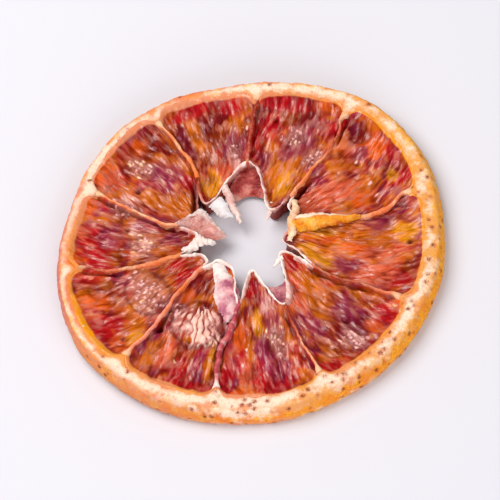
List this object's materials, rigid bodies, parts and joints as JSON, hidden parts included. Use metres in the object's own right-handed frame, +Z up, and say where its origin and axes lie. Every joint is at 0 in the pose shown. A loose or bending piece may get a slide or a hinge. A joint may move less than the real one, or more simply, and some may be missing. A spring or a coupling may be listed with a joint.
{
  "type": "dried blood orange slice",
  "caption": "Round crosswise slice of dried blood orange: sunken segments between raised membranes, a pale rind, and a star-shaped hole where the core was.",
  "frame": {"origin": "under the middle of the slice's box, on the surface that the slice lies on", "axes": "+Z up, square to the cut face; +X and +Y lie in it, with +Y towards the side of the rind that is nearest to the core"},
  "size_m": [0.0618, 0.061, 0.0052],
  "materials": {
    "dried_citrus": "satin, leathery dried fruit"
  },
  "bodies": {
    "root": {"orange_slice": "dried_citrus"}
  },
  "joints": []
}
